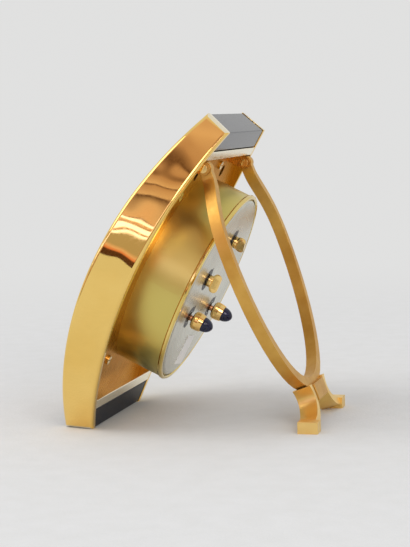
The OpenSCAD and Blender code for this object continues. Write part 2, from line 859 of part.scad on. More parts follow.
module centre_wheel() {
  color(brass) can_frame() train_wheel(centre_wheel_radius, centre_wheel_teeth, centre_level, arbor_radius);
}

module third_wheel() {
  color(brass)
    can_frame(third_place)
      geared_arbor(third_wheel_radius, third_wheel_teeth, third_level,
                   third_pinion_radius, train_pinion_teeth, centre_level - 0.2);
}

module fourth_wheel() {
  color(brass)
    can_frame(fourth_place)
      geared_arbor(fourth_wheel_radius, fourth_wheel_teeth, fourth_level,
                   fourth_pinion_radius, train_pinion_teeth, third_level - 0.2);
}

module escape_wheel() {
  color(steel)
    can_frame(escape_place)
      geared_arbor(escape_wheel_radius, escape_teeth, escape_level,
                   escape_pinion_radius, escape_pinion_teeth, fourth_level - 0.2);
}

module pallet_fork() {
  to_balance = balance_place - pallet_place;
  along = to_balance / norm(to_balance);
  across = [-along[1], along[0]];
  fork_length = norm(to_balance) - 1;
  color(steel)
    can_frame(pallet_place) {
      translate([0, 0, escape_level])
        linear_extrude(wheel_thickness) {
          polygon([
            [-2.1, 2.3], [-1.5, 2.5], [-0.8, 0.6], [0.8, 0.6],
            [1.9, 2.5], [2.5, 2.3], [0.9, -0.5], [-0.9, -0.5]
          ]);
          polygon([
            across * 0.4, along * fork_length + across * 0.5, along * (fork_length - 0.5),
            along * fork_length - across * 0.5, -across * 0.4
          ]);
        }
      post(0.45, main_rear + 0.2, rear_plate_front - 0.2, 36);
      post(0.3, main_rear - 0.8, main_rear + 0.3, 24);
      post(0.3, rear_plate_front - 0.3, rear_plate_front + 0.8, 24);
    }
}

module balance_wheel() {
  rim = 0.8;
  color(gilt)
    can_frame(balance_place) {
      difference() {
        post(balance_radius, balance_level, balance_level + 0.8, 90);
        post(balance_radius - rim, balance_level - 1, balance_level + 2, 90);
      }
      translate([-balance_radius + rim / 2, -0.45, balance_level])
        cube([2 * balance_radius - rim, 0.9, 0.8]);
      post(0.5, main_rear + 0.2, rear_plate_front - 0.2, 36);
      post(0.3, main_rear - 0.8, main_rear + 0.3, 24);
      post(0.3, rear_plate_front - 0.3, rear_plate_front + 0.8, 24);
    }
}

module hairspring() {
  inner = 0.55;
  outer = 3.6;
  blade = 0.16;
  steps = 20 * hairspring_turns;
  function spiral(i, offset) =
    let (a = i * 360 * hairspring_turns / steps, r = inner + (outer - inner) * i / steps + offset)
      [r * cos(a), r * sin(a)];
  color("steelblue")
    can_frame(balance_place)
      translate([0, 0, balance_level + 1.4])
        linear_extrude(0.4)
          polygon(concat(
            [for (i = [0 : steps]) spiral(i, 0)],
            [for (i = [steps : -1 : 0]) spiral(i, blade)]
          ));
}

module regulator_index() {
  pointer = balance_radius + 0.2;
  color(steel)
    can_frame(balance_place)
      translate([0, 0, rear_plate_rear + 0.2])
        linear_extrude(0.5)
          difference() {
            union() {
              circle(r = 1.5, $fn = 48);
              polygon([[-0.5, 0.8], [0.5, 0.8], [0.2, pointer], [-0.2, pointer]]);
            }
            circle(r = 0.6, $fn = 36);
          }
}

module minute_wheel() {
  color(brass)
    can_frame(minute_wheel_place) {
      train_wheel(minute_wheel_radius, minute_wheel_teeth, level_1 - wheel_thickness, 0);
      translate([0, 0, level_2 - wheel_thickness])
        toothed_disc(minute_pinion_radius, minute_pinion_teeth, wheel_thickness + motion_level_gap + 0.1);
      post(0.42, level_1 - 0.1, main_front + 0.9, 24);
    }
}

module hour_wheel() {
  color(brass)
    can_frame()
      difference() {
        union() {
          train_wheel(hour_wheel_radius, hour_wheel_teeth, level_2 - wheel_thickness, 0);
          post(hour_pipe_radius, hour_hand_level - hand_thickness - 0.1, level_2 - wheel_thickness + 0.1);
        }
        post(hour_pipe_bore, hour_hand_level - 3, level_2 + 1);
      }
}

module alarm_wheel() {
  color(brass)
    can_frame()
      difference() {
        union() {
          train_wheel(alarm_wheel_radius, alarm_wheel_teeth, level_3 - wheel_thickness, 0);
          post(alarm_pipe_radius, alarm_hand_level - hand_thickness - 0.1, level_3 - wheel_thickness + 0.1);
        }
        post(alarm_pipe_bore, alarm_hand_level - 3, level_3 + 1);
      }
}

module alarm_star_wheel() {
  color(steel)
    can_frame(star_place)
      geared_arbor(star_wheel_radius, star_teeth, centre_level,
                   star_pinion_radius, star_pinion_teeth, barrel_rear - 0.8);
}

module alarm_hammer() {
  head_offset = hammer_head_place - hammer_place;
  head_angle = atan2(head_offset[1], head_offset[0]);
  head_radius = 1.3;
  color(steel)
    can_frame(hammer_place) {
      rotate([0, 0, head_angle])
        translate([0, -0.4, escape_level]) cube([norm(head_offset), 0.8, 1]);
      translate([head_offset[0], head_offset[1], 0]) post(head_radius, plate_rear + 0.3, escape_level + 1.8);
      post(0.7, main_rear + 0.2, rear_plate_front - 0.2, 36);
      post(0.3, main_rear - 0.8, main_rear + 0.3, 24);
      post(0.3, rear_plate_front - 0.3, rear_plate_front + 0.8, 24);
    }
}

// A gilt U bracket on the back plate, open to the rear, with a bore through both cheeks.
module hinge_brackets() {
  color(satin_gilt)
    case_frame()
      for (side = [-1, 1])
        translate([side * hinge_half_span, 0, 0])
          difference() {
            union() {
              for (cheek = [-1, 1]) {
                translate([cheek > 0 ? cheek_inner : -cheek_outer, -hinge_depth, hinge_height])
                  cross_pin(cheek_round, 0, cheek_thickness);
                translate([cheek > 0 ? cheek_inner : -cheek_outer, plate_rear, hinge_height - cheek_round])
                  cube([cheek_thickness, back_plate_depth - hinge_depth, 2 * cheek_round]);
              }
              translate([-cheek_outer, plate_rear, hinge_height - cheek_round])
                cube([2 * cheek_outer, 0.8, 2 * cheek_round]);
            }
            translate([0, -hinge_depth, hinge_height])
              cross_pin(pin_radius, -cheek_outer - 1, cheek_outer + 1);
          }
}

module hinge_pins() {
  head = 0.3;
  color(gilt)
    case_frame()
      for (side = [-1, 1])
        translate([side * hinge_half_span, -hinge_depth, hinge_height]) {
          cross_pin(pin_radius, -cheek_outer, cheek_outer);
          for (end = [-1, 1])
            translate([end > 0 ? cheek_outer : -cheek_outer - head, 0, 0])
              cross_pin(pin_radius + 0.35, 0, head);
        }
}

// Cubic curve through four control points.
function cubic(p, t) =
  p[0] * pow(1 - t, 3) + p[1] * 3 * t * pow(1 - t, 2) + p[2] * 3 * t * t * (1 - t) + p[3] * pow(t, 3);
function cubic_slope(p, t) =
  (p[1] - p[0]) * pow(1 - t, 2) + (p[2] - p[1]) * 2 * t * (1 - t) + (p[3] - p[2]) * t * t;
function side_of(p, t, offset) =
  let (d = cubic_slope(p, t), n = [d[1], -d[0]] / norm(d)) cubic(p, t) + n * offset;

bow_pull_top = 4.4;
bow_pull_side = 13;
bow_pull_bottom = 20;
bow_upper = [
  [hinge_half_span, -arm_stub], [hinge_half_span, -arm_stub - bow_pull_top],
  [bow_half_width, -bow_wide_drop + bow_pull_side], [bow_half_width, -bow_wide_drop]
];
bow_lower = [
  [bow_half_width, -bow_wide_drop], [bow_half_width, -can_drop - bow_pull_side],
  [bow_pull_bottom, -bow_drop], [0, -bow_drop]
];
bow_steps = 14;

// One edge of the right arm, from the hinge to the bottom of the bow.
function arm_edge(offset) = concat(
  [[hinge_half_span - offset, 0]],
  [for (i = [0 : bow_steps - 1]) side_of(bow_upper, i / bow_steps, offset)],
  [for (i = [0 : bow_steps]) side_of(bow_lower, i / bow_steps, offset)]
);
function mirrored(points) = [for (i = [len(points) - 2 : -1 : 0]) [-points[i][0], points[i][1]]];

// The flat loop of the bow, thicker all round by a margin.
module bow_loop(margin = 0) {
  outer = arm_edge(-wire_width / 2 - margin);
  inner = arm_edge(wire_width / 2 + margin);
  reach = wire_thickness + 2 * margin;
  rotate([90, 0, 0])
    translate([0, 0, -reach / 2])
      linear_extrude(reach)
        polygon(concat(
          outer, mirrored(outer),
          [for (i = [0 : len(inner) - 1]) [-inner[i][0], inner[i][1]]],
          [for (i = [len(inner) - 2 : -1 : 0]) inner[i]]
        ));
}

module strut_bow() {
  eye_half = wire_width / 2;
  color(satin_gilt)
    strut_frame()
      difference() {
        union() {
          bow_loop();
          for (side = [-1, 1])
            translate([side * hinge_half_span, 0, 0]) cross_pin(eye_radius, -eye_half, eye_half);
        }
        for (side = [-1, 1])
          translate([side * hinge_half_span, 0, 0])
            cross_pin(pin_radius + pin_clearance, -eye_half - 1, eye_half + 1);
      }
}

collar_half = 7.4;
collar_trim_middle = collar_half + 0.4;
collar_height = 4.6;
collar_depth = 5.8;
collar_top = bow_drop + 0.4;
braze_gap = 0.02;

leg_curve = [
  [12.5, -bow_drop + 2.5], [3.5, -bow_drop - 4],
  [foot_half_span - 9, -strut_length + 1.6], [foot_half_span, -strut_length + leg_thickness / 2 + 0.2]
];
leg_steps = 14;

// The strap of one leg in the plane of the bow, from under the wire to the foot.
module leg_strap(side, depth, margin = 0) {
  half = leg_thickness / 2 + margin;
  outline = concat(
    [for (i = [0 : leg_steps]) side_of(leg_curve, i / leg_steps, half)],
    [for (i = [leg_steps : -1 : 0]) side_of(leg_curve, i / leg_steps, -half)]
  );
  rotate([90, 0, 0])
    translate([0, 0, -depth / 2])
      linear_extrude(depth)
        polygon([for (p = outline) [side * p[0], p[1]]]);
}

// A plain web brazed under the bottom of the bow and between the two legs.
module strut_collar() {
  color(satin_gilt)
    strut_frame()
      difference() {
        translate([-collar_half, -collar_depth / 2, -collar_top - collar_height])
          cube([2 * collar_half, collar_depth, collar_height]);
        bow_loop(braze_gap);
        for (side = [-1, 1])
          leg_strap(side, 2 * collar_depth, braze_gap);
        for (side = [-1, 1])
          translate([side * collar_trim_middle - 1, -collar_depth, -collar_top - collar_height - 1])
            cube([2, 2 * collar_depth, collar_height + 2]);
      }
}

// A flat strap that leaves the bow, draws in beside the web and flares out to a plain block on the floor.
module leg(side) {
  color(satin_gilt)
    intersection() {
      union() {
        strut_frame()
          difference() {
            leg_strap(side, leg_depth);
            bow_loop(braze_gap);
            translate([-case_mid_width, -collar_depth, -bow_drop])
              cube([2 * case_mid_width, 2 * collar_depth, bow_drop]);
          }
        translate([side * foot_half_span - pad_width / 2, shift_y + foot_y - pad_depth / 2, 0])
          cube([pad_width, pad_depth, pad_thickness]);
      }
      translate([-case_mid_width, -case_height, 0]) cube([2 * case_mid_width, 2 * case_height, case_height]);
    }
}

side_bar(-1);  // left_side_bar
side_bar(1);  // right_side_bar
rail(rail_high_inner, rail_high);  // top_rail
rail(rail_low, rail_low_inner);  // bottom_rail
lacquer_block(rail_high + lacquer_joint, case_height + 20);  // top_lacquer_block
lacquer_block(-20, rail_low - lacquer_joint);  // bottom_lacquer_block
front_plate();
back_plate();
back_plate_screws();
bezel();
crystal();
dial_ring();
dial();
hour_markers();
hand(alarm_hand_turn, alarm_hand_length, alarm_hand_width, alarm_hand_tail, alarm_boss_radius,  // alarm_hand
       alarm_pipe_radius, alarm_hand_level, gilt);
hand(hour_hand_turn, hour_hand_length, hour_hand_width, hour_hand_tail, hour_boss_radius,  // hour_hand
       hour_pipe_radius, hour_hand_level, dark_blue);
hand(minute_hand_turn, minute_hand_length, minute_hand_width, minute_hand_tail, minute_boss_radius,  // minute_hand
       cannon_pipe_radius, minute_hand_level, dark_blue);
movement_can();
can_rim();
back_cover();
blank_plate();
setting_shaft(hand_knob_place, setting_pinion_radius, level_1, setting_pinion_teeth);  // hand_setting_shaft
setting_knob(hand_knob_place);  // hand_setting_knob
setting_stone(hand_knob_place);  // hand_setting_stone
setting_shaft(alarm_knob_place, alarm_pinion_radius, level_3, alarm_pinion_teeth);  // alarm_setting_shaft
setting_knob(alarm_knob_place);  // alarm_setting_knob
setting_stone(alarm_knob_place);  // alarm_setting_stone
winding_arbor(time_key_place);  // time_winding_arbor
winding_key(time_key_place, time_wing_turn);  // time_key
ratchet_wheel(time_key_place, time_ratchet_radius, 24);  // time_ratchet_wheel
click(time_click_place, 110);  // time_click
winding_arbor(alarm_key_place);  // alarm_winding_arbor
winding_key(alarm_key_place, alarm_wing_turn);  // alarm_key
ratchet_wheel(alarm_key_place, alarm_ratchet_radius, 20);  // alarm_ratchet_wheel
click(alarm_click_place, -113);  // alarm_click
main_plate();
plate_pillars();
rear_plate();
barrel(time_key_place, time_barrel_radius, time_barrel_teeth);  // time_barrel
barrel(alarm_key_place, alarm_barrel_radius, alarm_barrel_teeth);  // alarm_barrel
centre_arbor();
centre_wheel();
third_wheel();
fourth_wheel();
escape_wheel();
pallet_fork();
balance_wheel();
hairspring();
regulator_index();
minute_wheel();
hour_wheel();
alarm_wheel();
alarm_star_wheel();
alarm_hammer();
hinge_brackets();
hinge_pins();
strut_bow();
strut_collar();
leg(-1);  // left_leg
leg(1);  // right_leg
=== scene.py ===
import json
from math import cos, pi, radians, sin

import bmesh
import bpy
from mathutils import Matrix, Vector

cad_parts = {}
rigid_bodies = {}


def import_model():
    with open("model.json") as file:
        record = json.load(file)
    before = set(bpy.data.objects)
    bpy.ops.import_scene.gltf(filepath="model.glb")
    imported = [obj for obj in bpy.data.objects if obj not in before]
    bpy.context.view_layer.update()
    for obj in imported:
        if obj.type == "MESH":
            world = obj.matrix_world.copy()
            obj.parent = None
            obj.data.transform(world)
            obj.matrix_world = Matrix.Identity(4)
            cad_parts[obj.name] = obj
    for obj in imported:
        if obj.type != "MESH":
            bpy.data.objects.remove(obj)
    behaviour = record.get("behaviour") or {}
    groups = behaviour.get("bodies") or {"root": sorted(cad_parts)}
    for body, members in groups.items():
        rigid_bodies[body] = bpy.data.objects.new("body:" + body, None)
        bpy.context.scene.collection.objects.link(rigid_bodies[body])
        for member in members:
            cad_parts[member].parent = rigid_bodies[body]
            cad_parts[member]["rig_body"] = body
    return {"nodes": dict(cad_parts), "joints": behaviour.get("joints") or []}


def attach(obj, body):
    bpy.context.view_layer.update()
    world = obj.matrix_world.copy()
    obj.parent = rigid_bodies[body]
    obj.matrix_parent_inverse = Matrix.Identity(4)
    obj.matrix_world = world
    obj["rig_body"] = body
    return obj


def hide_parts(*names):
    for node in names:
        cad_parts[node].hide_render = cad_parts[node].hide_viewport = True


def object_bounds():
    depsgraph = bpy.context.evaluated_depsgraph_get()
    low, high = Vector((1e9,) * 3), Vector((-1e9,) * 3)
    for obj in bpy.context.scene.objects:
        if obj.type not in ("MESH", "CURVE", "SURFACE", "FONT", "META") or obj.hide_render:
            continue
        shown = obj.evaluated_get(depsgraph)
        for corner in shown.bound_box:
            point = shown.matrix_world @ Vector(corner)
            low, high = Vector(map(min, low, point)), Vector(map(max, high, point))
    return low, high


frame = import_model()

cad_low, cad_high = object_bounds()

# The movement's two brass plates, the pillars between them, the barrels and the train wheels.
# They are stamped from sheet brass, grained with a fine abrasive and riveted on their arbors.
# The case leans back, so every finish is laid out square to the case by the clock's centre line.
centre_joint = next(j for j in frame["joints"] if j["name"] == "minute_hand_turn")
clock_centre = Vector(centre_joint["pos_m"])
rearward = Vector(centre_joint["axis"])
case_lean = Vector((rearward.y, rearward.z)).angle(Vector((1, 0)))
cloud_low, cloud_high = 0.3, 0.7


def new_finish(name):
    """An empty finish: its material, nodes, links and shader."""
    material = bpy.data.materials.new(name)
    material.use_nodes = True
    tree = material.node_tree
    return material, tree.nodes, tree.links, tree.nodes["Principled BSDF"]


def case_coordinates(nodes, links, stretch=(1, 1, 1)):
    """Places on the piece, square to the case, with the clock's centre line at the middle."""
    place = nodes.new("ShaderNodeTexCoord")
    turn = nodes.new("ShaderNodeMapping")
    turn.inputs["Rotation"].default_value = (case_lean, 0, 0)
    turn.inputs["Location"].default_value = -(Matrix.Rotation(case_lean, 3, "X") @ clock_centre)
    draw_out = nodes.new("ShaderNodeMapping")
    draw_out.inputs["Scale"].default_value = stretch
    links.new(place.outputs["Object"], turn.inputs["Vector"])
    links.new(turn.outputs["Vector"], draw_out.inputs["Vector"])
    return draw_out.outputs["Vector"]


def noise(nodes, links, place, marks_per_metre, detail=3.0):
    """A soft random amount that changes from place to place."""
    cloud = nodes.new("ShaderNodeTexNoise")
    cloud.inputs["Scale"].default_value = marks_per_metre
    cloud.inputs["Detail"].default_value = detail
    links.new(place, cloud.inputs["Vector"])
    return cloud.outputs["Fac"]


def blend_colours(nodes, links, amount, dark, light):
    """From the dark colour to the light one as a noise rises."""
    ramp = nodes.new("ShaderNodeValToRGB")
    for end, at, colour in zip(ramp.color_ramp.elements, (cloud_low, cloud_high), (dark, light)):
        end.position, end.color = at, (*colour, 1)
    links.new(amount, ramp.inputs["Fac"])
    return ramp.outputs["Color"]


def spread(nodes, links, amount, low, high, start=cloud_low, end=cloud_high):
    """From low to high as an amount goes from start to end."""
    scale = nodes.new("ShaderNodeMapRange")
    scale.inputs["From Min"].default_value, scale.inputs["From Max"].default_value = start, end
    scale.inputs["To Min"].default_value, scale.inputs["To Max"].default_value = low, high
    links.new(amount, scale.inputs["Value"])
    return scale.outputs["Result"]


def raise_surface(nodes, links, shader, height, depth, edge_round=0):
    """Fine relief of a depth in metres, laid over edges that look rounded by edge_round."""
    if not depth:
        return
    relief = nodes.new("ShaderNodeBump")
    relief.inputs["Distance"].default_value = depth
    links.new(height, relief.inputs["Height"])
    if edge_round:
        edge = nodes.new("ShaderNodeBevel")
        edge.inputs["Radius"].default_value = edge_round
        links.new(edge.outputs["Normal"], relief.inputs["Normal"])
    links.new(relief.outputs["Normal"], shader.inputs["Normal"])


def metal(name, dark, light, polish, marks=1500, relief=0.000003, stretch=(1, 1, 1),
          edge_round=0.00012, cloud=70):
    """Metal whose tone and polish change a little. polish is its least and most roughness."""
    material, nodes, links, shader = new_finish(name)
    place = case_coordinates(nodes, links, stretch)
    even_place = case_coordinates(nodes, links)
    tone = noise(nodes, links, even_place, cloud)
    scratches = noise(nodes, links, place, marks, detail=5.0)
    links.new(blend_colours(nodes, links, tone, dark, light), shader.inputs["Base Color"])
    links.new(spread(nodes, links, scratches, *polish), shader.inputs["Roughness"])
    raise_surface(nodes, links, shader, scratches, relief, edge_round)
    shader.inputs["Metallic"].default_value = 1
    return material


def dress(material, *names):
    """Puts a finish on CAD nodes, in every slot that they have."""
    for name in names:
        node = frame["nodes"][name]
        if not node.material_slots:
            node.data.materials.append(material)
        for slot in node.material_slots:
            slot.material = material


movement_brass = metal("grained movement brass", (0.55, 0.4, 0.15), (0.72, 0.56, 0.25),
                       polish=(0.2, 0.36), marks=2600, relief=0.000004, stretch=(1, 0.1, 1))
dress(movement_brass, "main_plate", "plate_pillars", "rear_plate", "time_barrel", "alarm_barrel",
      "centre_wheel", "third_wheel", "fourth_wheel", "minute_wheel", "hour_wheel", "alarm_wheel")

# The arbors, ratchets, clicks, pallets, star wheel, hammer and regulator, of hardened steel.
# They are turned or stamped, ground on both faces and left bright.
bright_steel = metal("ground steel", (0.3, 0.3, 0.31), (0.52, 0.52, 0.53), polish=(0.16, 0.34),
                     marks=3200)
dress(bright_steel, "centre_arbor", "escape_wheel", "pallet_fork", "alarm_star_wheel",
      "alarm_hammer", "regulator_index", "time_winding_arbor", "alarm_winding_arbor",
      "time_ratchet_wheel", "alarm_ratchet_wheel", "time_click", "alarm_click")

# The balance, a turned ring of pale gilt brass with one bar, and its hairspring of blued steel.
# The spring is a flat ribbon coiled between the balance staff and the rear plate.
balance_brass = metal("balance brass", (0.7, 0.52, 0.24), (0.86, 0.68, 0.36),
                      polish=(0.12, 0.22), marks=1800)
blued_spring = metal("blued hairspring", (0.03, 0.06, 0.24), (0.08, 0.14, 0.42),
                     polish=(0.18, 0.3), marks=2400)
dress(balance_brass, "balance_wheel")
dress(blued_spring, "hairspring")


# The dial, a thin brass disc with an ivory coat of paint, and the sloping ring round it.
# The paint is matt with a faint tooth, and its tone changes a little over the dial.
def paint(name, dark, light, polish, marks, relief, edge_round=0.0001):
    """A coat of paint or ink. polish is its least and most roughness."""
    material, nodes, links, shader = new_finish(name)
    place = case_coordinates(nodes, links)
    tone = noise(nodes, links, place, 60)
    tooth = noise(nodes, links, place, marks, detail=6.0)
    links.new(blend_colours(nodes, links, tone, dark, light), shader.inputs["Base Color"])
    links.new(spread(nodes, links, tooth, *polish), shader.inputs["Roughness"])
    raise_surface(nodes, links, shader, tooth, relief, edge_round)
    return material


ivory_paint = paint("ivory dial paint", (0.76, 0.71, 0.57), (0.84, 0.8, 0.68),
                    polish=(0.42, 0.6), marks=2600, relief=0.000004)
dress(ivory_paint, "dial", "dial_ring")

# The printing on the dial: twelve plain numerals and a track of sixty minute strokes.
# It is black ink, laid on the paint about a twentieth of a millimetre thick.
across = Vector((1, 0, 0))
upward = Vector((0, -rearward.z, rearward.y))
ink_height = 0.00005
numerals = "XII I II III IIII V VI VII VIII IX X XI".split()
numeral_size = 0.0042
numeral_radius = 0.0141
stroke_radius, stroke_length, stroke_width = 0.0203, 0.0009, 0.00032
stroke_count = 60


def rear_depth(node):
    """How far behind the clock's centre point a CAD node's rear end lies."""
    return max((v.co - clock_centre).dot(rearward) for v in frame["nodes"][node].data.vertices)


def add_piece(name, mesh, material, body, smooth=False):
    """Makes a finished bmesh a piece that rides on a body."""
    data = bpy.data.meshes.new(name)
    mesh.to_mesh(data)
    mesh.free()
    data.polygons.foreach_set("use_smooth", [smooth] * len(data.polygons))
    data.materials.append(material)
    piece = bpy.data.objects.new(name, data)
    bpy.context.scene.collection.objects.link(piece)
    if smooth:
        flats = piece.modifiers.new("flat faces stay flat", "WEIGHTED_NORMAL")
        flats.keep_sharp = True
    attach(piece, body)
    return piece


def thicken(mesh, along):
    """Gives a flat drawing the thickness and direction of a vector."""
    raised = bmesh.ops.extrude_face_region(mesh, geom=mesh.faces[:])["geom"]
    raised_corners = [v for v in raised if isinstance(v, bmesh.types.BMVert)]
    bmesh.ops.translate(mesh, verts=raised_corners, vec=along)
    bmesh.ops.recalc_face_normals(mesh, faces=mesh.faces)


dial_ink = paint("dial ink", (0.012, 0.012, 0.016), (0.03, 0.03, 0.035), polish=(0.35, 0.5),
                 marks=3000, relief=0.000002, edge_round=0)
printing = bmesh.new()
for hour, numeral in enumerate(numerals):
    text = bpy.data.curves.new("numeral", "FONT")
    text.body, text.size, text.align_x, text.align_y = numeral, numeral_size, "CENTER", "CENTER"
    letters = bpy.data.objects.new("numeral", text)
    shape = bpy.data.meshes.new_from_object(letters)
    shape.transform(Matrix.Rotation(-hour * pi / 6, 4, "Z")
                    @ Matrix.Translation((0, numeral_radius, 0)))
    printing.from_mesh(shape)
    bpy.data.objects.remove(letters)
    bpy.data.curves.remove(text)
    bpy.data.meshes.remove(shape)
stroke = bmesh.ops.create_grid(printing, x_segments=1, y_segments=1, size=0.5)["verts"]
bmesh.ops.scale(printing, verts=stroke, vec=(stroke_width, stroke_length, 1))
bmesh.ops.translate(printing, verts=stroke, vec=(0, stroke_radius, 0))
stroke_faces = list({f for v in stroke for f in v.link_faces})
bmesh.ops.spin(printing, geom=stroke_faces, cent=(0, 0, 0), axis=(0, 0, 1),
               angle=2 * pi * (stroke_count - 1) / stroke_count, steps=stroke_count - 1,
               use_duplicate=True)
bmesh.ops.remove_doubles(printing, verts=printing.verts, dist=0.000001)
thicken(printing, Vector((0, 0, ink_height)))
dial_place = Matrix((across, upward, -rearward)).transposed().to_4x4()
dial_place.translation = clock_centre + rearward * rear_depth("dial_ring")
bmesh.ops.transform(printing, matrix=dial_place, verts=printing.verts)
add_piece("dial_printing", printing, dial_ink, "case")

# The twelve applied hour markers and the slim alarm hand, cut from thin gilt brass.
# The markers are pinned through the dial and polished on their faces.
pale_gilt = metal("pale gilt", (0.8, 0.56, 0.24), (0.94, 0.72, 0.36), polish=(0.14, 0.26),
                  marks=1600, relief=0.000002)
dress(pale_gilt, "hour_markers", "alarm_hand")

# The hour and minute hands, cut from thin steel and pressed on their pipe and arbor.
# They are lacquered a dark blue that looks black in shade.
hand_lacquer = paint("hand lacquer", (0.008, 0.012, 0.06), (0.016, 0.024, 0.11),
                     polish=(0.12, 0.22), marks=1200, relief=0.000001)
dress(hand_lacquer, "hour_hand", "minute_hand")

# The front plate, bent from sheet brass to the bow of the case, and the flat back plate.
# Both are copper-toned gilt with a satin grain along the case. The back plate and the strut's
# two hinge brackets on it are darker and browner, partly their own deeper tone and partly painted
# shade for the shade beneath the can; their glancing reflections are tinted darker as painted
# shade.
grain = (1, 1, 0.08)
plate_gilt = metal("copper gilt plate", (0.64, 0.36, 0.12), (0.76, 0.46, 0.17),
                   polish=(0.2, 0.3), marks=2600, relief=0.000001, stretch=grain)
# Darker, browner gilt for the back plate and hinge brackets: partly their own tone, partly painted
# shade.
shade_darkened_gilt = metal("copper gilt darkened as painted shade", (0.56, 0.27, 0.05), (0.66, 0.37, 0.09),
                  polish=(0.24, 0.34), marks=2600, relief=0.000001, stretch=grain)
shade_darkened_shader = shade_darkened_gilt.node_tree.nodes["Principled BSDF"]
# Painted shade: the tint darkens and browns the glancing reflections.
shade_darkened_shader.inputs["Specular Tint"].default_value = (0.84, 0.64, 0.46, 1)
dress(plate_gilt, "front_plate")
dress(shade_darkened_gilt, "back_plate", "hinge_brackets")

# The turned bezel, a polished gilt ring screwed in the front plate, which holds the crystal.
# The two pins of the strut's hinges are polished in the same way.
polished_gilt = metal("polished gilt", (0.86, 0.56, 0.2), (0.95, 0.66, 0.26),
                      polish=(0.04, 0.1), marks=900, relief=0.000001)
dress(polished_gilt, "bezel", "hinge_pins")

# The crystal, a flat disc of clear glass, ground at its edge and pressed into the bezel.
# It lets the light of the lamps through to the dial.
crystal_glass, nodes, links, shader = new_finish("crystal glass")
place = case_coordinates(nodes, links)
tone, smears = noise(nodes, links, place, 40), noise(nodes, links, place, 300)
links.new(blend_colours(nodes, links, tone, (0.97, 0.98, 0.98), (1, 1, 1)),
          shader.inputs["Base Color"])
links.new(spread(nodes, links, smears, 0.0, 0.03), shader.inputs["Roughness"])
shader.inputs["Transmission Weight"].default_value = 1
shader.inputs["IOR"].default_value = 1.5
ray = nodes.new("ShaderNodeLightPath")
clear = nodes.new("ShaderNodeBsdfTransparent")
let_light_in = nodes.new("ShaderNodeMixShader")
links.new(ray.outputs["Is Shadow Ray"], let_light_in.inputs["Fac"])
links.new(shader.outputs["BSDF"], let_light_in.inputs[1])
links.new(clear.outputs["BSDF"], let_light_in.inputs[2])
links.new(let_light_in.outputs["Shader"], nodes["Material Output"].inputs["Surface"])
dress(crystal_glass, "crystal")

# The six cheese-head screws that hold the back plate, turned from yellow brass.
# Their heads are left bright.
screw_brass = metal("screw brass", (0.7, 0.5, 0.18), (0.86, 0.68, 0.3), polish=(0.14, 0.26),
                    marks=2400, relief=0.000002)
dress(screw_brass, "back_plate_screws")

# The two side bars, sawn from thick brass to the barrel shape, gilt and polished like a mirror.
# Every edge is rolled over a little, and the hand-worked faces are not dead flat, so reflections
# waver. The end faces get the same near-white gilt as the rails, a painted highlight.
bar_inner_round, bar_outer_round, outer_segments = 0.0002, 0.0011, 5
waver_marks, waver_depth = 105, 0.0006
loose_corners = 0.000002
flat_angle, sharp_angle = radians(0.4), radians(32)
outer_face, end_face = 0.7, 0.75


def sharp_edges(mesh):
    """The edges where two faces meet at more than the sharp angle."""
    return [e for e in mesh.edges if len(e.link_faces) == 2 and e.calc_face_angle() > sharp_angle]


def roll_edges(mesh, edges, edge_round, segments):
    """Rolls edges over by a round of edge_round, in metres."""
    bmesh.ops.bevel(mesh, geom=edges, offset=edge_round, offset_type="OFFSET", segments=segments,
                    profile=0.5, affect="EDGES", material=-1, clamp_overlap=True)


def rounded_copy(node, name, material, edge_round, segments=3, outer_round=0,
                 end_highlight_material=None):
    """A CAD node's shape with its sharp edges rolled over, which takes the node's place."""
    source = frame["nodes"][node]
    mesh = bmesh.new()
    mesh.from_mesh(source.data)
    bmesh.ops.remove_doubles(mesh, verts=mesh.verts, dist=loose_corners)
    bmesh.ops.dissolve_limit(mesh, angle_limit=flat_angle, verts=mesh.verts, edges=mesh.edges)
    if outer_round:
        side = 1 if mesh.verts[:][0].co.x > 0 else -1
        outer = [e for e in sharp_edges(mesh)
                 if any(f.normal.x * side > outer_face for f in e.link_faces)]
        roll_edges(mesh, outer, outer_round, outer_segments)
    roll_edges(mesh, sharp_edges(mesh), edge_round, segments)
    bmesh.ops.triangulate(mesh, faces=[f for f in mesh.faces if len(f.verts) > 4])
    # Faces that point up or down the case, the ends, take the second finish, a paled gilt that is a
    # painted highlight.
    if end_highlight_material:
        mesh.normal_update()
        for face in mesh.faces:
            face.material_index = int(abs(face.normal.dot(upward)) > end_face)
    piece = add_piece(name, mesh, material, source["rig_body"], smooth=True)
    if end_highlight_material:
        piece.data.materials.append(end_highlight_material)
    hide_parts(node)


bar_gilt, nodes, links, shader = new_finish("mirror gilt")
place = case_coordinates(nodes, links)
tone, wear = noise(nodes, links, place, 50), noise(nodes, links, place, 1400, detail=6.0)
links.new(blend_colours(nodes, links, tone, (0.93, 0.62, 0.17), (0.98, 0.69, 0.22)),
          shader.inputs["Base Color"])
links.new(spread(nodes, links, wear, 0.02, 0.07), shader.inputs["Roughness"])
hand_place = case_coordinates(nodes, links, stretch=(0.3, 1, 0.8))
hand_worked = noise(nodes, links, hand_place, waver_marks, detail=0.0)
raise_surface(nodes, links, shader, hand_worked, waver_depth)
shader.inputs["Metallic"].default_value = 1
# Near-white gilt for the bars' ends and the rails: a painted highlight for the bright light they
# mirror.
end_gilt_painted_highlight = metal("gilt paled as painted highlight", (0.94, 0.84, 0.62), (0.99, 0.92, 0.72),
                      polish=(0.14, 0.22), marks=1600, relief=0.000001, stretch=(0.1, 1, 1))
rounded_copy("left_side_bar", "left_bar_polished", bar_gilt, bar_inner_round,
             outer_round=bar_outer_round, end_highlight_material=end_gilt_painted_highlight)
rounded_copy("right_side_bar", "right_bar_polished", bar_gilt, bar_inner_round,
             outer_round=bar_outer_round, end_highlight_material=end_gilt_painted_highlight)

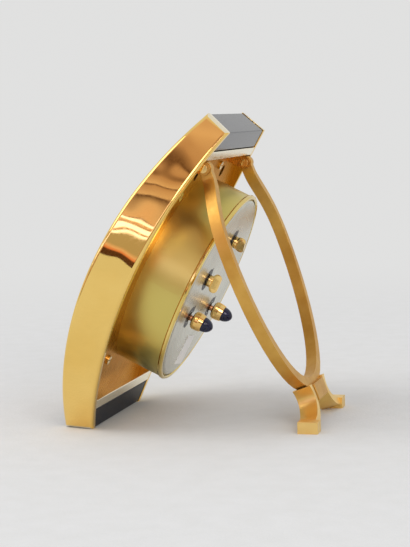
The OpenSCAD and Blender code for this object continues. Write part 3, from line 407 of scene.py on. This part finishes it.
# The cross rails, strips of brass brazed between the side bars above and below the plates.
# They have the near-white gilt of the bars' end faces, a painted highlight, and their edges are
# only just broken.
rail_edge_round = 0.0002
rounded_copy("top_rail", "top_rail_polished", end_gilt_painted_highlight, rail_edge_round)
rounded_copy("bottom_rail", "bottom_rail_polished", end_gilt_painted_highlight, rail_edge_round)

# The two end blocks, wood or resin under many coats of a near-black blue lacquer, rubbed bright.
# They are let in between the side bars with a thin joint all round. The lower one is duller.
block_edge_round = 0.00025
for block, piece_name, gloss in (("top_lacquer_block", "top_block_lacquered", 0.42),
                                 ("bottom_lacquer_block", "bottom_block_lacquered", 0.04)):
    block_lacquer, nodes, links, shader = new_finish("dark blue lacquer")
    place = case_coordinates(nodes, links)
    tone = noise(nodes, links, place, 120, detail=4.0)
    rubbing = noise(nodes, links, place, 1800, detail=5.0)
    links.new(blend_colours(nodes, links, tone, (0.004, 0.005, 0.009), (0.009, 0.011, 0.02)),
              shader.inputs["Base Color"])
    links.new(spread(nodes, links, rubbing, 0.1, 0.2), shader.inputs["Roughness"])
    raise_surface(nodes, links, shader, rubbing, 0.000002)
    shader.inputs["Specular IOR Level"].default_value = gloss
    rounded_copy(block, piece_name, block_lacquer, block_edge_round)

# The movement can, a drawn cup of brass with a satin skin and a greenish tone.
# It is fixed in the back plate's opening. Its skin is even, and its tone changes only a little.
can_brass = metal("satin can brass", (0.66, 0.54, 0.15), (0.74, 0.61, 0.18), polish=(0.3, 0.34),
                  marks=90, relief=0, cloud=30)
dress(can_brass, "movement_can")

# The rim, a narrow ring of brass rolled over the mouth of the can, which keeps the cover in.
# It is polished brighter than the can.
rim_brass = metal("polished rim brass", (0.74, 0.54, 0.14), (0.9, 0.7, 0.24),
                  polish=(0.08, 0.16), marks=900, relief=0.000001)
dress(rim_brass, "can_rim")

# The back cover, spun from sheet metal and silvered, with a soft sheen and faint turned rings.
# Its shoulder is rounded, and its holes let the shafts and arbors through.
silvering, nodes, links, shader = new_finish("silvered cover")
place = case_coordinates(nodes, links)
flatten = nodes.new("ShaderNodeMapping")
flatten.inputs["Scale"].default_value = (1, 0, 1)
links.new(place, flatten.inputs["Vector"])
from_centre = nodes.new("ShaderNodeVectorMath")
from_centre.operation = "LENGTH"
links.new(flatten.outputs["Vector"], from_centre.inputs[0])
ring_place = nodes.new("ShaderNodeCombineXYZ")
links.new(from_centre.outputs["Value"], ring_place.inputs["X"])
tone = noise(nodes, links, place, 90, detail=1.0)
turned_rings = noise(nodes, links, ring_place.outputs["Vector"], 1500, detail=2.0)
links.new(blend_colours(nodes, links, tone, (0.58, 0.57, 0.48), (0.66, 0.65, 0.56)),
          shader.inputs["Base Color"])
links.new(spread(nodes, links, turned_rings, 0.25, 0.33), shader.inputs["Roughness"])
raise_surface(nodes, links, shader, turned_rings, 0.000001, edge_round=0.0001)
shader.inputs["Metallic"].default_value = 1
dress(silvering, "back_cover")

# The blank plate, a small plain card, white and a little soiled.
# It is cemented on the cover.
card_white = paint("white card", (0.84, 0.83, 0.81), (0.92, 0.91, 0.89), polish=(0.5, 0.7),
                   marks=1500, relief=0.00001)
dress(card_white, "blank_plate")

# The curved arrows printed on the cover beside each shaft, which show which way it turns.
# They are black ink, each an arc with one arrow head.
mark_height = 0.00004
arc_radius, arc_width = 0.0026, 0.0013
arc_start, arc_swing, arc_steps = radians(60), radians(250), 24
head_length, head_width = 0.0019, 0.0028
cover_ink = paint("cover ink", (0.01, 0.01, 0.012), (0.025, 0.025, 0.028), polish=(0.3, 0.5),
                  marks=3000, relief=0.000002, edge_round=0)
cover_face = rear_depth("back_cover")
arrow_place = Matrix((-across, upward, rearward)).transposed().to_4x4()
arrows = bmesh.new()
for joint_name in ("hand_setting_turn", "alarm_setting_turn", "time_key_turn", "alarm_key_turn"):
    shaft = Vector(next(j for j in frame["joints"] if j["name"] == joint_name)["pos_m"])
    inner = arrows.verts.new((arc_radius - arc_width / 2, 0, 0))
    outer = arrows.verts.new((arc_radius + arc_width / 2, 0, 0))
    arc_end = arrows.edges.new((inner, outer))
    bmesh.ops.spin(arrows, geom=[inner, outer, arc_end], cent=(0, 0, 0), axis=(0, 0, 1),
                   angle=arc_swing, steps=arc_steps)
    arrows.faces.new([arrows.verts.new(corner) for corner in (
        (arc_radius - head_width / 2, 0, 0), (arc_radius, -head_length, 0),
        (arc_radius + head_width / 2, 0, 0))])
    arrow = [v for v in arrows.verts if not v.tag]
    bmesh.ops.rotate(arrows, verts=arrow, cent=(0, 0, 0),
                     matrix=Matrix.Rotation(arc_start, 3, "Z"))
    arrow_place.translation = shaft + rearward * (cover_face - (shaft - clock_centre).dot(rearward))
    bmesh.ops.transform(arrows, matrix=arrow_place, verts=arrow)
    for v in arrows.verts:
        v.tag = True
bmesh.ops.recalc_face_normals(arrows, faces=arrows.faces)
thicken(arrows, rearward * mark_height)
add_piece("cover_arrows", arrows, cover_ink, "case")

# The two setting shafts, turned from a copper-toned brass, whose necks show below the knobs.
# The rest of each shaft, with its pinion, is inside the can.
neck_copper = metal("copper-toned necks", (0.5, 0.22, 0.1), (0.7, 0.36, 0.18),
                    polish=(0.12, 0.22), marks=2000, relief=0.000001)
dress(neck_copper, "hand_setting_shaft", "alarm_setting_shaft")

# The two setting knobs, turned gilt cups polished bright, each on the end of its shaft.
# The winding keys are of the same brass, flat oval wings brazed on short bosses.
key_edge_round = 0.00015
knob_gilt = metal("knob gilt", (0.84, 0.55, 0.18), (0.95, 0.68, 0.27), polish=(0.07, 0.13),
                  marks=400, relief=0)
dress(knob_gilt, "hand_setting_knob", "alarm_setting_knob")
rounded_copy("time_key", "time_key_polished", knob_gilt, key_edge_round, segments=2)
rounded_copy("alarm_key", "alarm_key_polished", knob_gilt, key_edge_round,
             segments=2)

# The stones in the knobs, domed cabochons of a dark blue stone or paste, cemented in their cups.
# They are nearly black, and blue only where they are well lit.
stone_edge_round = 0.0001
blue_stone, nodes, links, shader = new_finish("dark blue stone")
place = case_coordinates(nodes, links)
tone, polish_marks = noise(nodes, links, place, 500, detail=4.0), noise(nodes, links, place, 1500)
links.new(blend_colours(nodes, links, tone, (0.003, 0.005, 0.02), (0.008, 0.013, 0.055)),
          shader.inputs["Base Color"])
links.new(spread(nodes, links, polish_marks, 0.06, 0.14), shader.inputs["Roughness"])
shader.inputs["Specular IOR Level"].default_value = 0.45
rounded_copy("hand_setting_stone", "hand_setting_stone_domed", blue_stone,
             stone_edge_round)
rounded_copy("alarm_setting_stone", "alarm_setting_stone_domed", blue_stone,
             stone_edge_round)

# The strut, one loop of flat gilt wire with an eye on each end, its web and its two flared legs.
# They are brazed together, gilt and left satin, with edges rubbed smooth by handling.
strut_edge_round = 0.0003
strut_gilt = metal("satin strut gilt", (0.6, 0.32, 0.06), (0.74, 0.45, 0.11), polish=(0.4, 0.52),
                   marks=1200, relief=0.000006, edge_round=0, cloud=110)
leg_gilt = metal("satin leg gilt", (0.84, 0.56, 0.17), (0.94, 0.68, 0.24), polish=(0.34, 0.46),
                 marks=1200, relief=0.000006, edge_round=0, cloud=110)
for node, piece_name, gilt in (("strut_bow", "strut_bow_satin", strut_gilt),
                               ("strut_collar", "strut_web_satin", strut_gilt),
                               ("left_leg", "left_leg_satin", leg_gilt),
                               ("right_leg", "right_leg_satin", leg_gilt)):
    rounded_copy(node, piece_name, gilt, strut_edge_round)

# The table under the clock, a pale grey cloth laid flat, which isn't part of the clock.
# Far from the clock the cloth fades into the pale wall, so that no line shows between them.
wall_grey = (0.75, 0.75, 0.745, 1)
cloth_reach, fade_start, fade_end = 2.5, 0.12, 0.5
table = bmesh.new()
bmesh.ops.create_circle(table, cap_ends=True, segments=96, radius=cloth_reach)
bmesh.ops.translate(table, verts=table.verts, vec=(0, 0, min(cad_low.z, 0)))
table_data = bpy.data.meshes.new("table_cloth")
table.to_mesh(table_data)
table.free()
table_cloth = bpy.data.objects.new("table_cloth", table_data)
bpy.context.scene.collection.objects.link(table_cloth)


def work_out(nodes, links, operation, *values):
    """A sum of numbers and of other nodes' results."""
    step = nodes.new("ShaderNodeMath")
    step.operation = operation
    for socket, value in zip(step.inputs, values):
        if isinstance(value, float):
            socket.default_value = value
        else:
            links.new(value, socket)
    return step.outputs["Value"]


cloth, nodes, links, shader = new_finish("pale cloth")
place = nodes.new("ShaderNodeTexCoord").outputs["Object"]
tone = noise(nodes, links, place, 140, detail=8.0)
threads = noise(nodes, links, place, 900, detail=4.0)
links.new(blend_colours(nodes, links, tone, (0.725, 0.725, 0.715), (0.75, 0.75, 0.745)),
          shader.inputs["Base Color"])
raise_surface(nodes, links, shader, threads, 0.0001)
shader.inputs["Roughness"].default_value = 0.95
shader.inputs["Specular IOR Level"].default_value = 0.0
far_off = nodes.new("ShaderNodeVectorMath")
far_off.operation = "LENGTH"
links.new(place, far_off.inputs[0])
fade = nodes.new("ShaderNodeMapRange")
fade.interpolation_type = "SMOOTHSTEP"
fade.inputs["From Min"].default_value = fade_start
fade.inputs["From Max"].default_value = fade_end
links.new(far_off.outputs["Value"], fade.inputs["Value"])
ray = nodes.new("ShaderNodeLightPath")
looked_at = work_out(nodes, links, "MAXIMUM", ray.outputs["Is Camera Ray"],
                     ray.outputs["Is Glossy Ray"])
looked_at = work_out(nodes, links, "MAXIMUM", looked_at, ray.outputs["Is Transmission Ray"])
glow = nodes.new("ShaderNodeEmission")
glow.inputs["Color"].default_value = wall_grey
mixed = nodes.new("ShaderNodeMixShader")
links.new(work_out(nodes, links, "MULTIPLY", fade.outputs["Result"], looked_at),
          mixed.inputs["Fac"])
links.new(shader.outputs["BSDF"], mixed.inputs[1])
links.new(glow.outputs["Emission"], mixed.inputs[2])
links.new(mixed.outputs["Shader"], nodes["Material Output"].inputs["Surface"])
table_data.materials.append(cloth)

# The light round the clock: a pale wall on all sides, which is all that the camera sees, and on
# the clock's left a warm surround in level bands, for the polished metal to mirror. It goes from
# brown and orange low down, through pale stripes with thin dark lines between them, to tan.
world = bpy.data.worlds.new("surround")
bpy.context.scene.world = world
world.use_nodes = True
nodes, links = world.node_tree.nodes, world.node_tree.links
nodes.clear()
out = nodes.new("ShaderNodeOutputWorld")
wall, fill, surround = (nodes.new("ShaderNodeBackground") for _ in range(3))
wall.inputs["Color"].default_value = wall_grey
fill.inputs["Color"].default_value = (0.74, 0.74, 0.75, 1)
direction = nodes.new("ShaderNodeTexCoord").outputs["Generated"]
parts = nodes.new("ShaderNodeSeparateXYZ")
links.new(direction, parts.inputs["Vector"])
slow_cloud = noise(nodes, links, direction, 2.2, detail=1.0)
quick_cloud = noise(nodes, links, direction, 4.5, detail=1.0)
wavering = work_out(nodes, links, "MULTIPLY_ADD", slow_cloud, 0.16, parts.outputs["Z"])
high_up = spread(nodes, links, parts.outputs["Z"], 0.0, 0.6, start=0.3, end=0.9)
off_middle = work_out(nodes, links, "SUBTRACT", quick_cloud, 0.5)
swirled = work_out(nodes, links, "MULTIPLY_ADD", off_middle, high_up, wavering)
tan, olive, shade = (0.78, 0.56, 0.54), (0.5, 0.42, 0.36), (0.1, 0.045, 0.03)
orange, brown, deep_brown = (0.8, 0.28, 0.16), (0.54, 0.34, 0.3), (0.14, 0.07, 0.05)
stripe, between = (2.2, 2.0, 3.0), (0.86, 0.56, 0.5)
bands = ((0.0, brown), (0.04, shade), (0.11, shade), (0.125, orange), (0.16, between),
         (0.2, olive), (0.305, olive), (0.315, stripe), (0.325, stripe), (0.329, shade),
         (0.334, between), (0.34, between), (0.346, stripe), (0.385, stripe), (0.39, shade),
         (0.396, between), (0.414, between), (0.42, stripe), (0.433, stripe), (0.438, shade),
         (0.444, between), (0.47, tan), (0.52, shade), (0.53, tan), (0.59, brown),
         (0.605, shade), (0.615, tan), (0.72, brown), (0.745, deep_brown), (0.82, brown),
         (1.0, tan))
heights = nodes.new("ShaderNodeValToRGB")
for at, colour in bands[1:-1]:
    heights.color_ramp.elements.new(at)
for element, (at, colour) in zip(heights.color_ramp.elements, bands):
    element.position = at
    element.color = (*colour, 1)
links.new(swirled, heights.inputs["Fac"])
on_the_left = nodes.new("ShaderNodeMix")
on_the_left.data_type = "RGBA"
on_the_left.inputs["A"].default_value = wall_grey
links.new(spread(nodes, links, parts.outputs["X"], 0.0, 1.0, start=0.1, end=0.35),
          on_the_left.inputs["Factor"])
links.new(heights.outputs["Color"], on_the_left.inputs["B"])
links.new(on_the_left.outputs["Result"], surround.inputs["Color"])
ray = nodes.new("ShaderNodeLightPath")
mirrored, seen = nodes.new("ShaderNodeMixShader"), nodes.new("ShaderNodeMixShader")
links.new(ray.outputs["Is Glossy Ray"], mirrored.inputs["Fac"])
links.new(fill.outputs["Background"], mirrored.inputs[1])
links.new(surround.outputs["Background"], mirrored.inputs[2])
links.new(work_out(nodes, links, "MAXIMUM", ray.outputs["Is Camera Ray"],
                   ray.outputs["Is Transmission Ray"]), seen.inputs["Fac"])
links.new(mirrored.outputs["Shader"], seen.inputs[1])
links.new(wall.outputs["Background"], seen.inputs[2])
links.new(seen.outputs["Shader"], out.inputs["Surface"])

# The lamps, two soft round panels that aim at the middle of the clock.
# The larger stands above and in front of the dial, and the weaker one behind the camera.
lamp_aim = Vector((0, 0, 0.04))
for name, place, size, watts in (("key lamp", (0.6, -1.15, 1.5), 1.5, 11.0),
                                 ("side lamp", (1.3, 0.9, 0.7), 0.9, 7.0)):
    lamp = bpy.data.lights.new(name, "AREA")
    lamp.shape, lamp.size, lamp.energy = "DISK", size, watts
    lamp_object = bpy.data.objects.new(name, lamp)
    lamp_object.location = place
    lamp_object.rotation_mode = "QUATERNION"
    lamp_object.rotation_quaternion = (lamp_aim - Vector(place)).to_track_quat("-Z", "Y")
    bpy.context.scene.collection.objects.link(lamp_object)

# The camera, at the photograph's place and angle: behind the clock and to its left, a little
# above it. The lens shift puts the middle of the frame where the photograph has it.
picture_width, picture_height = 410, 547
focal_pixels = 1725.74
azimuth, elevation, roll = radians(103.633), radians(5.014), radians(-1.049)
middle_x, middle_y = 210.789, 262.661
camera_place = Vector((0.47179, 0.116063, 0.086554))
lens = bpy.data.cameras.new("camera")
lens.sensor_width = 36.0
lens.lens = focal_pixels * lens.sensor_width / picture_height
lens.shift_x = -(middle_x - picture_width / 2) / picture_height
lens.shift_y = (middle_y - picture_height / 2) / picture_height
lens.clip_start, lens.clip_end = 0.01, 20
camera = bpy.data.objects.new("camera", lens)
forward = Vector((-sin(azimuth) * cos(elevation), cos(azimuth) * cos(elevation), -sin(elevation)))
level_right = forward.cross(Vector((0, 0, 1))).normalized()
level_up = level_right.cross(forward)
right = level_right * cos(roll) + level_up * sin(roll)
up = level_up * cos(roll) - level_right * sin(roll)
camera.matrix_world = (Matrix.Translation(camera_place)
                       @ Matrix((right, up, -forward)).transposed().to_4x4())
bpy.context.scene.collection.objects.link(camera)
bpy.context.scene.camera = camera
bpy.context.scene.view_settings.view_transform = "Standard"
